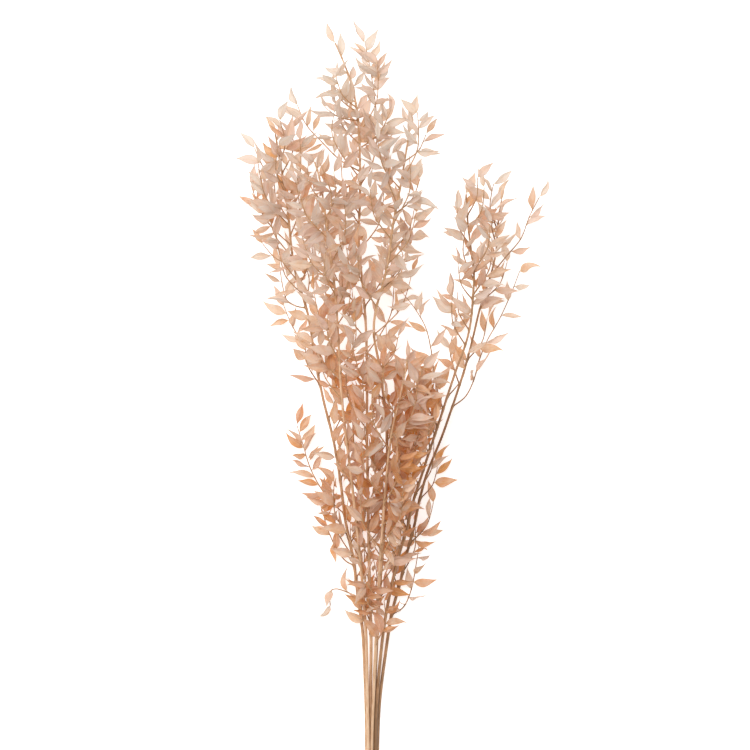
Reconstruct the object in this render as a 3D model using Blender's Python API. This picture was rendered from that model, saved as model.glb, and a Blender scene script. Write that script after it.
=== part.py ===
"""A bundle of dried ruscus: seven leafy stems lying together on a table.

The tables are in millimetres: x across the bundle, y along it from the cut ends, z above the
table. The objects are in metres, +Z up, with the tips towards +Y and the origin under the middle
of the bundle. Each stem is one solid: its wood, its side shoots and its leaves, joined.
"""

import math
import random

import bmesh
import bpy
from mathutils import Vector
from mathutils.bvhtree import BVHTree

MM = 0.001
MIDDLE = Vector((19.5, 382.0, 0.0))  # of the whole bundle, in the tables' millimetres
UP = Vector((0.0, 0.0, 1.0))

STEM_BASE_RADIUS = 1.75
STEM_TIP_RADIUS = 0.85
STEM_SIDES = 5
STEM_TAPER = 0.8  # power of the share of its length by which a stem thins
SHOOT_BASE_RADIUS = 1.1
SHOOT_TIP_RADIUS = 0.75
SHOOT_SIDES = 3
SHOOT_POINT_SPACING = 22.0
SHOOT_STRETCHES = 4  # straight stretches, at least
SHOOT_RISE = 1.6  # power by which a shoot reaches its tip's height early
SHOOT_BOW = 0.12  # of a shoot's length: how far its middle hangs outside the straight line
LYING_TIP = 1.0  # a shoot whose tip is lower than this lies on the table
RAISED_TIP = 2.0  # the lowest tip of a shoot that doesn't

LEAF_LENGTH = (24.0, 32.0)
LEAF_WIDTH = (0.36, 0.43)  # of its length
WIDEST = 0.42  # of its length, where the blade is widest
BASE_POWER = 0.95  # how the blade widens from its root
TIP_POWER = 1.3  # how it narrows to its tip
TIP_SHRINK = 0.12  # of a leaf's length, at the tip of its shoot
LEAF_THICKNESS = 0.7
LEAF_STATIONS = (0.27, 0.62)  # of its length, where the solid blade has its corners
LEAF_SPACING = 16.0
BARE_SHARE = 0.2  # of a shoot's length, before its first leaf

# How the leaves stand: a middle value and a spread, in radians, or in a share of the length
LEAN = (0.85, 0.2)
LEAN_AT_TIP = (0.0, 0.25)
ROLL = (0.0, 0.5)
TURN = (0.0, 0.5)
TWIST = (0.0, 0.4)
DROOP = (0.05, 0.1)

CLEARANCE = 0.45
LEAF_TRIES = 26
SHOOT_TRIES = 40
LOOSER = 0.06  # how much wider each further try for a leaf is drawn
SHOOT_SHIFT = 0.9  # how much further from its place each further try for a shoot is drawn
SHOOT_SEED = 100
LEAF_SEED = 200

STEMS = {
    "left_leafy_stem": {
        "route": [
            (-5.6, 3, 0), (-5.6, 40, 0), (-6.3, 85, 2), (-9, 145, 3.5), (-14, 185, 5),
            (-19, 225, 7), (-27, 265, 9), (-32, 305, 12), (-39, 345, 15), (-49, 385, 18),
            (-57, 425, 22), (-63, 465, 26), (-70, 490, 29), (-77, 513, 31), (-81, 540, 34),
            (-84, 570, 36), (-88, 600, 38), (-93, 630, 40), (-97, 652, 41),
        ],
        "leafy_from": 540,
        "shoots": [
            (186, [(-30, 193), (-42, 193), (-42, 177)], 0),
            (218, [(-31, 227), (-43, 250), (-52, 280)], 0),
            (240, [(-12, 285)], 6),
            (270, [(-42, 284), (-59, 308), (-68, 335), (-76, 360)], 0),
            (305, [(-20, 365)], 26),
            (350, [(-30, 395)], 32),
            (410, [(-40, 460)], 32),
            (438, [(-73, 448), (-82, 463), (-89, 480)], 3),
            (455, [(-48, 520)], 48),
            (476, [(-86, 486), (-93, 520)], 12),
            (500, [(-62, 560)], 58),
            (520, [(-110, 542)], 16),
            (540, [(-102, 560), (-113, 578), (-122, 602)], 22),
            (560, [(-114, 622)], 50),
            (585, [(-72, 645)], 60),
            (602, [(-118, 638)], 34),
        ],
    },
    "left_middle_leafy_stem": {
        "route": [
            (-3.8, 9, 4.9), (-3.8, 40, 4.9), (-4.5, 85, 6.5), (-6, 145, 11), (-10, 205, 22),
            (-16, 265, 36), (-23, 325, 50), (-29, 375, 60), (-32, 415, 67), (-34, 455, 73),
            (-37, 495, 79), (-42, 535, 84), (-47, 575, 87), (-52, 605, 88), (-57, 622, 88),
        ],
        "leafy_from": 470,
        "shoots": [
            (225, [(-24, 285)], 30),
            (262, [(2, 330)], 62),
            (300, [(-38, 360)], 52),
            (340, [(-10, 410)], 82),
            (385, [(-52, 438)], 62),
            (412, [(-18, 482)], 94),
            (445, [(-58, 495)], 74),
            (475, [(-26, 540)], 102),
            (500, [(-70, 550)], 86),
            (522, [(-28, 585)], 100),
            (545, [(-74, 600)], 92),
            (565, [(-38, 612)], 94),
        ],
    },
    "tall_leafy_stem": {
        "route": [
            (-1.9, 0, 0), (-1.9, 40, 0), (-1.7, 85, 3), (-1, 145, 7), (-3, 225, 18),
            (-4, 285, 28), (-5, 345, 38), (-5, 405, 46), (-6, 455, 51), (-9, 495, 55),
            (-13, 545, 58), (-12, 585, 60), (-12, 625, 61), (-14, 665, 62), (-19, 695, 62),
            (-27, 719, 61), (-37, 742, 60),
        ],
        "leafy_from": 560,
        "shoots": [
            (205, [(-22, 262)], 10),
            (240, [(18, 305)], 46),
            (280, [(-24, 340)], 40),
            (315, [(20, 385)], 58),
            (355, [(-26, 420)], 50),
            (395, [(14, 462)], 58),
            (430, [(22, 520)], 0),
            (445, [(-30, 508)], 58),
            (468, [(-48, 578)], 0),
            (478, [(12, 538)], 66),
            (505, [(-34, 562)], 66),
            (535, [(12, 592)], 74),
            (570, [(-30, 632)], 74),
            (599, [(0, 620), (5, 645), (5, 665), (2, 690), (-2, 717), (-7, 741)], 74),
            (606, [(-24, 622), (-39, 645), (-38, 671)], 72),
            (613, [(-32, 625), (-50, 643), (-66, 661), (-75, 681)], 34),
            (636, [(18, 672)], 78),
        ],
    },
    "front_leafy_stem": {
        "route": [
            (0, 12, 4.9), (0, 40, 4.9), (1.5, 85, 8), (4, 145, 17), (7, 205, 34), (11, 265, 55),
            (15, 315, 73), (20, 355, 87), (27, 385, 98), (32, 408, 105), (35, 425, 109),
        ],
        "leafy_from": 365,
        "shoots": [
            (185, [(-12, 238)], 44),
            (210, [(30, 265)], 50),
            (235, [(-12, 295)], 72),
            (260, [(40, 305)], 70),
            (285, [(-10, 345)], 92),
            (310, [(48, 355)], 88),
            (335, [(0, 395)], 106),
            (350, [(57, 394)], 102),
            (370, [(12, 418)], 112),
            (385, [(51, 417)], 108),
        ],
    },
    "right_middle_leafy_stem": {
        "route": [
            (1.9, 6, 0), (1.9, 40, 0), (2.6, 85, 3), (5, 145, 7), (8.5, 205, 16),
            (13, 265, 28), (15, 315, 40), (14, 365, 53), (8, 415, 67), (2, 450, 77),
            (4, 475, 83), (11, 500, 88), (17, 530, 91), (21, 560, 92), (27, 590, 91),
            (32, 620, 89), (36, 645, 86), (39, 667, 83),
        ],
        "leafy_from": 500,
        "shoots": [
            (185, [(28, 240)], 12),
            (225, [(-4, 285)], 50),
            (265, [(40, 325)], 44),
            (305, [(-8, 365)], 74),
            (345, [(44, 400)], 66),
            (385, [(-18, 440)], 90),
            (415, [(26, 448)], 82),
            (450, [(40, 512)], 24),
            (478, [(-14, 535)], 106),
            (495, [(36, 540)], 78),
            (520, [(44, 572)], 82),
            (545, [(-2, 595)], 108),
            (570, [(48, 606)], 82),
            (595, [(6, 642)], 104),
            (622, [(54, 650)], 80),
        ],
    },
    "right_inner_leafy_stem": {
        "route": [
            (3.8, 4, 4.9), (3.8, 40, 4.9), (5.2, 85, 6.2), (10.5, 145, 9), (17, 185, 13),
            (26, 225, 18), (35, 255, 22), (42, 285, 26), (50, 310, 30), (58, 335, 33),
            (68, 365, 37), (76, 390, 40), (85, 417, 43), (94, 442, 46), (99, 465, 48),
            (101, 490, 50), (102, 510, 51), (99, 535, 52), (96, 560, 53), (94, 592, 52),
        ],
        "leafy_from": 470,
        "shoots": [
            (225, [(12, 285)], 38),
            (262, [(30, 330)], 50),
            (300, [(34, 362)], 48),
            (332, [(48, 392)], 60),
            (358, [(56, 412)], 40),
            (375, [(66, 392), (63, 408), (60, 427), (57, 447), (51, 463), (41, 479), (29, 494)], 58),
            (440, [(80, 488)], 52),
            (485, [(86, 520)], 58),
            (515, [(118, 562)], 60),
            (540, [(85, 575)], 60),
            (555, [(112, 598)], 58),
        ],
    },
    "right_outer_leafy_stem": {
        "route": [
            (5.6, 8, 0), (5.6, 40, 0), (8, 85, 1.5), (14.5, 135, 3), (20, 170, 4),
            (28, 200, 5), (35, 230, 7), (43, 260, 9), (48, 285, 11), (55, 310, 13),
            (63, 330, 15), (71, 350, 17), (79, 373, 19), (87, 397, 20), (95, 423, 22),
            (102, 450, 24), (108, 475, 25), (115, 497, 26), (121, 517, 27), (125, 537, 27),
            (126, 557, 27), (130, 586, 26),
        ],
        "leafy_from": 470,
        "shoots": [
            (168, [(30, 174), (37, 187), (42, 203), (45, 223), (48, 242)], 0),
            (195, [(24, 240)], 10),
            (240, [(62, 282)], 2),
            (248, [(28, 295)], 16),
            (285, [(66, 318)], 8),
            (378, [(93, 387), (101, 402), (107, 418), (110, 435), (121, 452), (132, 474),
                   (141, 494), (149, 515)], 0),
            (400, [(86, 468)], 0),
            (425, [(116, 468)], 14),
            (485, [(136, 524)], 18),
            (510, [(128, 523), (137, 531), (146, 541), (153, 554), (157, 566), (163, 579),
                   (169, 590)], 6),
        ],
    },
}


def flat_under(radius, sides):
    """How far a tube with a flat side down reaches below its centre line."""
    return radius * math.cos(math.pi / sides)


def at_distance(points, distance):
    """The point at this distance along a line of straight stretches, and the way it runs there."""
    for start, end in zip(points, points[1:]):
        stretch = end - start
        if distance <= stretch.length or end is points[-1]:
            return start + stretch * min(distance / stretch.length, 1.0), stretch.normalized()
        distance -= stretch.length


def length_of(points):
    return sum((b - a).length for a, b in zip(points, points[1:]))


def distance_at_y(points, y):
    """How far along the stem its line reaches y."""
    distance = 0.0
    for start, end in zip(points, points[1:]):
        if end.y >= y:
            return distance + (end - start).length * (y - start.y) / (end.y - start.y)
        distance += (end - start).length
    return distance


def smooth_curve(points, t):
    """The point at share t of a Catmull-Rom curve through the points."""
    place = t * (len(points) - 1)
    i = min(int(place), len(points) - 2)
    f = place - i
    p1, p2 = points[i], points[i + 1]
    p0 = points[i - 1] if i > 0 else p1 * 2 - p2
    p3 = points[i + 2] if i + 2 < len(points) else p2 * 2 - p1
    a = 2 * p1
    b = (p2 - p0) * f
    c = (2 * p0 - 5 * p1 + 4 * p2 - p3) * f * f
    d = (3 * p1 - p0 - 3 * p2 + p3) * f * f * f
    return (a + b + c + d) / 2


def shoot_line(start, start_way, places, tip_height):
    """A shoot's line from the stem through its places, at heights that pass smoothly to the tip's."""
    flat = [Vector((start.x, start.y, 0))] + [Vector((x, y, 0)) for x, y in places]
    if len(flat) == 2:
        chord = flat[1] - flat[0]
        outward = Vector((chord.y, -chord.x, 0)).normalized()
        if outward.dot(flat[1] - flat[0] - start_way * chord.length) < 0:
            outward.negate()
        flat.insert(1, (flat[0] + flat[1]) / 2 + outward * chord.length * SHOOT_BOW)
    count = max(SHOOT_STRETCHES, round(length_of(flat) / SHOOT_POINT_SPACING))
    line = []
    for i in range(count + 1):
        t = i / count
        point = smooth_curve(flat, t)
        height = start.z + (tip_height - start.z) * (1 - (1 - t) ** SHOOT_RISE)
        lowest = flat_under(shoot_radius(t), SHOOT_SIDES) if i else start.z
        line.append(Vector((point.x, point.y, max(height, lowest))))
    return line


def shoot_radius(t):
    """The shoot's radius at share t of its length."""
    return SHOOT_BASE_RADIUS + (SHOOT_TIP_RADIUS - SHOOT_BASE_RADIUS) * t


def stem_line(route):
    """The stem's points, none so low that the stem would sink into the table."""
    line = [Vector(place) for place in route]
    for point, radius in zip(line, stem_radii(line)):
        point.z = max(point.z, flat_under(radius, STEM_SIDES))
    return line


def stem_radii(line):
    """The stem's radius at each of its points: thickest at the cut end."""
    shares = [(p.y - line[0].y) / (line[-1].y - line[0].y) for p in line]
    return [
        STEM_BASE_RADIUS + (STEM_TIP_RADIUS - STEM_BASE_RADIUS) * share ** STEM_TAPER
        for share in shares
    ]


def tube(line, radii, sides):
    """A closed tube round the line, a flat side down, as (points, faces)."""
    points, faces = [], []
    for i, centre in enumerate(line):
        ahead = (line[min(i + 1, len(line) - 1)] - line[max(i - 1, 0)]).normalized()
        side = ahead.cross(UP).normalized()
        up = side.cross(ahead)
        for k in range(sides):
            angle = math.pi * ((2 * k + 1) / sides - 0.5)
            points.append(centre + (side * math.cos(angle) + up * math.sin(angle)) * radii[i])
    for i in range(len(line) - 1):
        for k in range(sides):
            a, b = i * sides + k, i * sides + (k + 1) % sides
            faces.append((a, b, b + sides, a + sides))
    faces.append(tuple(reversed(range(sides))))
    faces.append(tuple(range((len(line) - 1) * sides, len(line) * sides)))
    return points, faces


def leaf_half_width(u):
    """The blade's half width at share u of its length, as a share of the widest."""
    return (u / WIDEST) ** BASE_POWER * (max(1 - u, 0) / (1 - WIDEST)) ** TIP_POWER


def leaf_point(leaf, u, v, lift=0.0, grow=0.0):
    """A point of the blade: u along it, v across it from -1 to 1, lift off its middle surface."""
    turn = leaf["twist"] * u
    side = leaf["side"] * math.cos(turn) + leaf["face"] * math.sin(turn)
    face = leaf["face"] * math.cos(turn) - leaf["side"] * math.sin(turn)
    middle = leaf["root"] + leaf["way"] * (leaf["length"] * u)
    middle = middle - face * (leaf["length"] * leaf["droop"] * u * u)
    half = leaf["width"] / 2 * leaf_half_width(u) + grow
    return middle + side * (half * v) + face * lift


def blade(leaf, thickness, grow=0.0):
    """The leaf as a thin arched solid that ends in a point at its root and at its tip."""
    points = [leaf_point(leaf, 0, 0), leaf_point(leaf, 1 + grow / leaf["length"], 0)]
    for lift in (thickness / 2, -thickness / 2):
        for u in LEAF_STATIONS:
            points += [leaf_point(leaf, u, v, lift, grow) for v in (-1, 1)]
    root, tip = 0, 1
    top = (2, 3, 4, 5)
    low = (6, 7, 8, 9)
    faces = []
    for left, right, far_left, far_right in (top, low):
        faces += [
            (root, right, left),
            (left, right, far_left),
            (right, far_right, far_left),
            (far_left, far_right, tip),
        ]
    for near, far in ((0, 2), (1, 3)):
        faces += [
            (root, top[near], low[near]),
            (top[near], top[far], low[far]),
            (top[near], low[far], low[near]),
            (top[far], tip, low[far]),
        ]
    return points, faces


class Space:
    """What already stands in the bundle, so that nothing new grows through it."""

    def __init__(self):
        self.things = []

    def add(self, shape, owner):
        points, faces = shape
        low, high = box_of(points)
        self.things.append((low, high, BVHTree.FromPolygons(points, faces), owner))

    def is_clear(self, shape, joined):
        """True if the shape meets nothing, apart from the owners that it is joined to."""
        points, faces = shape
        low, high = box_of(points)
        if low.z < 0:
            return False
        tree = None
        for other_low, other_high, other, owner in self.things:
            if owner in joined:
                continue
            if any(low[i] > other_high[i] or high[i] < other_low[i] for i in range(3)):
                continue
            tree = tree or BVHTree.FromPolygons(points, faces)
            if tree.overlap(other):
                return False
        return True


def box_of(points):
    return (
        Vector([min(p[i] for p in points) for i in range(3)]),
        Vector([max(p[i] for p in points) for i in range(3)]),
    )


def grow_shoot(space, stem, number, entry, draw):
    """A side shoot in the first place near its own that is clear of everything else."""
    start_y, places, tip_height = entry
    start, start_way = at_distance(stem["line"], distance_at_y(stem["line"], start_y))
    name = f"{stem['name']}_shoot_{number}"
    for attempt in range(SHOOT_TRIES):
        reach = SHOOT_SHIFT * attempt
        shift = Vector([draw.uniform(-reach, reach) for _ in range(3)])
        moved = [
            (x + shift.x * (i + 1) / len(places), y + shift.y * (i + 1) / len(places))
            for i, (x, y) in enumerate(places)
        ]
        height = tip_height if tip_height < LYING_TIP else max(RAISED_TIP, tip_height + shift.z)
        line = shoot_line(start, start_way, moved, height)
        radii = [shoot_radius(i / (len(line) - 1)) for i in range(len(line))]
        points, faces = tube(line, [r + 2 * CLEARANCE for r in radii], SHOOT_SIDES)
        raised = [p + UP * CLEARANCE for p in points]
        if space.is_clear((raised, faces), {stem["name"]}):
            shape = tube(line, radii, SHOOT_SIDES)
            space.add(shape, name)
            return {"name": name, "line": line, "shape": shape}
    return None


def leaf_places(shoot, leafy_from):
    """The distances along a shoot or stem where a leaf grows, the last at its very tip."""
    tip = length_of(shoot["line"]) - SHOOT_TIP_RADIUS
    count = int((tip - leafy_from) / LEAF_SPACING)
    return [tip - LEAF_SPACING * k for k in reversed(range(count + 1))]


def draw_leaf(root, along, sign, tipness, attempt, draw):
    """A leaf drawn at random: it leans out to its side of the shoot, more so the more tries failed."""
    looseness = 1 + LOOSER * attempt
    right = along.cross(UP).normalized()
    over = right.cross(along)
    roll = draw.gauss(*ROLL) * looseness
    outward = right * (sign * math.cos(roll)) + over * math.sin(roll)
    lean = draw.gauss(*(LEAN if tipness < 1 else LEAN_AT_TIP)) * looseness
    way = (along * math.cos(lean) + outward * math.sin(lean)).normalized()
    level_face = (outward.cross(along) * sign).normalized()
    level_side = level_face.cross(way)
    turn = draw.gauss(*TURN) * looseness
    length = draw.uniform(*LEAF_LENGTH) * (1 - TIP_SHRINK * tipness)
    return {
        "root": root,
        "way": way,
        "face": level_face * math.cos(turn) + level_side * math.sin(turn),
        "side": level_side * math.cos(turn) - level_face * math.sin(turn),
        "length": length,
        "width": length * draw.uniform(*LEAF_WIDTH),
        "droop": draw.gauss(*DROOP),
        "twist": draw.gauss(*TWIST),
    }


def grow_leaf(space, shoot, distance, sign, draw):
    """A leaf at this distance along its shoot, in the first drawn attitude that is clear."""
    root, along = at_distance(shoot["line"], distance)
    whole = length_of(shoot["line"])
    tipness = 1.0 if whole - distance < LEAF_SPACING / 2 else distance / whole
    for attempt in range(LEAF_TRIES):
        leaf = draw_leaf(root, along, sign, tipness, attempt, draw)
        if space.is_clear(blade(leaf, LEAF_THICKNESS + 2 * CLEARANCE, CLEARANCE), {shoot["name"]}):
            space.add(blade(leaf, LEAF_THICKNESS), f"{shoot['name']}_leaf")
            return leaf
    return None


def grow_bundle(space):
    """All the wood, then leaf by leaf the foliage, so that everything is clear of the rest."""
    stems = []
    for name, entry in STEMS.items():
        line = stem_line(entry["route"])
        shape = tube(line, stem_radii(line), STEM_SIDES)
        space.add(shape, name)
        stems.append({"name": name, "line": line, "shape": shape, "leaves": []})
    for index, stem in enumerate(stems):
        draw = random.Random(SHOOT_SEED + index)
        grown = [
            grow_shoot(space, stem, number, entry, draw)
            for number, entry in enumerate(STEMS[stem["name"]]["shoots"])
        ]
        stem["shoots"] = [shoot for shoot in grown if shoot]
    for index, stem in enumerate(stems):
        draw = random.Random(LEAF_SEED + index)
        leafy_from = distance_at_y(stem["line"], STEMS[stem["name"]]["leafy_from"])
        for shoot in [stem] + stem["shoots"]:
            first = leafy_from if shoot is stem else BARE_SHARE * length_of(shoot["line"])
            for k, distance in enumerate(leaf_places(shoot, first)):
                leaf = grow_leaf(space, shoot, distance, (-1) ** k, draw)
                if leaf:
                    stem["leaves"].append(leaf)
    return stems


def mesh_object(name, shape, collection):
    points, faces = shape
    mesh = bpy.data.meshes.new(name)
    mesh.from_pydata([(p - MIDDLE) * MM for p in points], [], faces)
    shell = bmesh.new()
    shell.from_mesh(mesh)
    bmesh.ops.recalc_face_normals(shell, faces=shell.faces)
    shell.to_mesh(mesh)
    shell.free()
    made = bpy.data.objects.new(name, mesh)
    collection.objects.link(made)
    return made


def joined_stem(stem, material):
    """One object: the stem's tube with its shoots and leaves united to it."""
    scene = bpy.context.scene
    body = mesh_object(stem["name"], stem["shape"], scene.collection)
    pieces = bpy.data.collections.new(stem["name"] + "_pieces")
    scene.collection.children.link(pieces)
    for shoot in stem["shoots"]:
        mesh_object(shoot["name"], shoot["shape"], pieces)
    for leaf in stem["leaves"]:
        mesh_object("leaf", blade(leaf, LEAF_THICKNESS), pieces)
    union = body.modifiers.new("join", "BOOLEAN")
    union.operation = "UNION"
    union.operand_type = "COLLECTION"
    union.collection = pieces
    bpy.context.view_layer.update()
    united = bpy.data.meshes.new_from_object(body.evaluated_get(bpy.context.evaluated_depsgraph_get()))
    body.modifiers.clear()
    body.data = united
    for piece in list(pieces.objects):
        bpy.data.objects.remove(piece)
    bpy.data.collections.remove(pieces)
    body.data.materials.clear()
    body.data.materials.append(material)


def dried_ruscus_material():
    material = bpy.data.materials.new("dried_ruscus")
    material.use_nodes = True
    shader = material.node_tree.nodes["Principled BSDF"]
    shader.inputs["Base Color"].default_value = (0.70, 0.47, 0.32, 1.0)
    shader.inputs["Roughness"].default_value = 0.7
    shader.inputs["Metallic"].default_value = 0.0
    return material


def main():
    for old in list(bpy.data.objects):
        bpy.data.objects.remove(old)
    material = dried_ruscus_material()
    for stem in grow_bundle(Space()):
        joined_stem(stem, material)


main()
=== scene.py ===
"""The finished look of a bundle of bleached, dried ruscus that lies on a pale table.

The tables are in millimetres: x across the bundle, y along it from the cut ends, z above the
table. They and the growth rules are those of the solids, so each fine stem, shoot and leaf stands
where its solid is; more leaves then grow between them. The pieces are in metres, +Z up.
"""

import random
from math import cos, exp, hypot, inf, pi, sin, tau

import bpy
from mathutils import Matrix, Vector
from mathutils.bvhtree import BVHTree
from mathutils.kdtree import KDTree


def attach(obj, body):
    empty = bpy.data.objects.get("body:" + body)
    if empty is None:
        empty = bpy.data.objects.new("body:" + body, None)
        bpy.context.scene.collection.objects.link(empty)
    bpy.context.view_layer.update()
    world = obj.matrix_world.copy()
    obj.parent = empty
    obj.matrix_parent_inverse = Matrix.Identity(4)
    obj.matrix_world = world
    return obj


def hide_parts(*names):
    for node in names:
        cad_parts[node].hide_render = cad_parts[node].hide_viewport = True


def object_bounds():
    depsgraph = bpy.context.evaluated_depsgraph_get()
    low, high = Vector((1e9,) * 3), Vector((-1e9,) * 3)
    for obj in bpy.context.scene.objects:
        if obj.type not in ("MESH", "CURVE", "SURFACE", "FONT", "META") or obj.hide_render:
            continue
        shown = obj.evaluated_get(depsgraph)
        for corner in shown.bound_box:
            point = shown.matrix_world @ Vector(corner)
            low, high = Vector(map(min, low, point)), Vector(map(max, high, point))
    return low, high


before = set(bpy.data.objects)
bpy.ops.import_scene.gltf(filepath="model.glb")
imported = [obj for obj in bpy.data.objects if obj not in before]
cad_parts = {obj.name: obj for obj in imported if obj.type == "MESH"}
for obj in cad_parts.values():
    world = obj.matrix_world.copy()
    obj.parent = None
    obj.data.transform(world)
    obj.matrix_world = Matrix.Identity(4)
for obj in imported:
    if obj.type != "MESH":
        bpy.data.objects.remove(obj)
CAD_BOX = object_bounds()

MM = 0.001
MIDDLE = Vector((19.5, 382.0, 0.0))  # of the whole bundle, in the tables' millimetres
UP = Vector((0.0, 0.0, 1.0))

# The stems, shoots and leaves as the solids have them
SOLID_STEM_RADII = (1.75, 0.85)  # at the cut end and at the tip
STEM_SIDES = 5
STEM_TAPER = 0.8  # power of the share of its length by which a stem thins
SOLID_SHOOT_RADII = (1.1, 0.75)
SHOOT_SIDES = 3
SHOOT_POINT_SPACING = 22.0
SHOOT_STRETCHES = 4  # straight stretches, at least
SHOOT_RISE = 1.6  # power by which a shoot reaches its tip's height early
SHOOT_BOW = 0.12  # of a shoot's length: how far its middle hangs outside the straight line
LYING_TIP = 1.0  # a shoot whose tip is lower than this lies on the table
RAISED_TIP = 2.0  # the lowest tip of a shoot that doesn't

LEAF_LENGTH = (24.0, 32.0)
LEAF_WIDTH = (0.36, 0.43)  # of its length
WIDEST = 0.42  # of its length, where the blade is widest
BASE_POWER = 0.95  # how the blade widens from its root
TIP_POWER = 1.3  # how it narrows to its tip
TIP_SHRINK = 0.12  # of a leaf's length, at the tip of its shoot
LEAF_THICKNESS = 0.7
LEAF_STATIONS = (0.27, 0.62)  # of its length, where the solid blade has its corners
LEAF_SPACING = 16.0
BARE_SHARE = 0.2  # of a shoot's length, before its first leaf

# How the leaves stand: a middle value and a spread, in radians, or in a share of the length
LEAN = (0.85, 0.2)
LEAN_AT_TIP = (0.0, 0.25)
ROLL = (0.0, 0.5)
TURN = (0.0, 0.5)
TWIST = (0.0, 0.4)
DROOP = (0.05, 0.1)

CLEARANCE = 0.45
LEAF_TRIES = 26
SHOOT_TRIES = 40
LOOSER = 0.06  # how much wider each further try for a leaf is drawn
SHOOT_SHIFT = 0.9  # how much further from its place each further try for a shoot is drawn
SHOOT_SEED = 100
LEAF_SEED = 200

FORM_SEED = 400
FORM_TRIES = 5
LATER_SEED = 300
LATER_SIZE = (0.87, 1.06)  # of the later leaves, beside the solids' leaves
LATER_PLACES = ((0.0, 1), (0.5, -1), (0.25, -1), (0.75, 1))  # share of the spacing back, and side
THICK_ONLY = (0.25, 0.75)  # the shares that have leaves only where the bundle is thick
TONE_SEED = 600
AGE_SEED = 700

# The fine wood
STEM_RADII = (1.75, 0.78)  # at the cut end and at the tip
STEM_RING_SIDES = 14
STEM_RING_STEP = 2.6
SHOOT_RADII = (0.74, 0.34)
SHOOT_RING_SIDES = 8
SHOOT_RING_STEP = 1.5
TABLE_GAP = 0.05  # under the lowest point of the wood and the leaves
RIDGES = ((3, 0.035), (5, 0.03), (8, 0.012))  # how many round the wood, and how high
RIDGE_TURN = 0.012  # radians for each millimetre along
JOINT_SWELL = (0.2, 2.4)  # of the radius, where a shoot leaves a stem, and its reach along it
LEAF_SWELL = (0.28, 1.1)  # the same where a leaf leaves its wood
FOOT_FLARE = (0.55, 2.2)  # how much wider a shoot starts, and over what length
BUD_WIDTH = 0.3  # of its radius, what is left of the wood at its growing tip
CUT_SLANT = 0.7  # how far forward the cut end leans, for each millimetre across
CUT_RINGS = ((0.88, 0.0), (0.45, 0.3), (0.36, 0.9))  # share of the radius, and how much is pith
SCALE_LENGTH = (3.2, 5.0)  # of the dry scale below each shoot
SCALE_HUG = 1.1  # how far round the wood it reaches to each side, in radians
SCALE_TAPER = 1.4  # power by which it narrows to its tip
SCALE_STAND_OFF = (0.1, 0.9)  # from the wood: at the scale's foot, and how much more at its tip
SCALE_SUNK = 1.2  # how far below the shoot it starts
SCALE_DARKNESS = 0.9  # of a joint's
SCALE_ROWS = 5
SCALE_COLUMNS = 4

# The fine leaves
LEAF_ROWS = (0.0, 0.03, 0.06, 0.11, 0.18, 0.26, 0.34, 0.42, 0.5, 0.58, 0.66, 0.74, 0.81, 0.88, 0.94)
LEAF_COLUMNS = (-1.0, -0.7, -0.38, -0.1, 0.0, 0.1, 0.38, 0.7, 1.0)
STALK = 0.045  # of the leaf's length
STALK_HALF_WIDTH = 0.34
FINE_WIDEST = 0.375
FINE_BASE_POWER = 0.82
FINE_TIP_POWER = 1.55
FOLD = (0.82, 0.3)  # each half's rise from the flat, in radians: middle value and spread
FOLD_BACK = 0.14  # the share of leaves that are folded the other way
FOLD_ALONG = (0.75, 0.6)  # of the fold: at the blade's middle, and how much more at its ends
FOLD_LEVEL = 0.45  # of the half width, where the fold neither lifts the blade nor lowers it
CUP = (0.15, 0.28)  # how much the halves bow, of their width
CUP_LEVEL = 0.3  # the square of that share, for the bow
WAVE = (0.06, 0.26)  # least and greatest height of the waves along an edge, of the half width
WAVES = (0.9, 1.9)  # how many waves an edge has
WAVE_POWER = 1.5  # how the waves grow from the midrib to the edge
SICKLE = 0.05  # how far the blade's middle swings sideways, of its length
CURL = (0.06, 0.14)  # how far the tip curls under, of the leaf's length
CURL_FROM = 0.5  # of the length
END_TWIST = 0.5
SEEN = (205.0, 400.0)  # the y between which later leaves don't hide the stems from above
SEEN_STEP = 4  # every so many of a blade's points are tried for that
LIFT_BY = 0.2  # share of a lying leaf's length over which it lifts off the table
RIB_DEPTH = 0.13  # of the groove along the middle, at the leaf's root

# Colours, as linear red, green and blue, and how the finishes use them. A share says how strongly
# a colour covers what lies under it.
LEAF_COLOURS = (
    (0.0, (0.79, 0.715, 0.65)),
    (0.3, (0.80, 0.64, 0.53)),
    (0.65, (0.745, 0.45, 0.28)),
    (1.0, (0.58, 0.27, 0.13)),
)
BLUSH_COLOUR = (0.84, 0.66, 0.57)
STALK_COLOUR = (0.66, 0.48, 0.28)
RIB_COLOUR = (0.82, 0.66, 0.48)
VEIN_COLOUR = (0.62, 0.42, 0.26)
EDGE_COLOUR = (0.42, 0.22, 0.10)
HUES = (0.506, 0.496)  # of the yellowest leaf and of the pinkest; 0.5 leaves the colour as it is
BLOTCHES = (130.0, 0.75)  # scale, and how far they shift a leaf's age
PINK_BLUSH = (0.55, 1.0)  # of a leaf's drawn blush, where the pink sets in and is full
PINK_AGE_AND_SHADE = (0.8, 0.1)  # of its age and painted shade, the same: old and shaded leaves stay tan
PINK_SHARE = 0.4
FOOT = (0.2, 0.02)  # along the leaf, where the stalk's colour sets in and is full
FOOT_SHARE = 0.6
RIB = (0.11, 0.03)  # across it, where the midrib's colour sets in and is full
RIB_SHARE = 0.5
RAGGED = (420.0, 0.16)  # scale, and how far the browned edge is ragged
BROWN_EDGE = (0.93, 1.1)
BROWN_EDGE_SHARE = 0.55
BROWN_TIP = (0.93, 1.06)
BROWN_SHARE = 0.8
VEINS = 9  # on each half of a leaf
WANDER = (90.0, 2.0)  # scale, and how far the veins wander, in radians
VEIN_SHARE = 0.22
VEIN_POWER = 3.0
CRINKLE = (260.0, 4.0, 0.6)  # scale, detail and roughness
CRINKLE_HEIGHT = 1.2
VEIN_HEIGHT = 0.3
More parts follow.
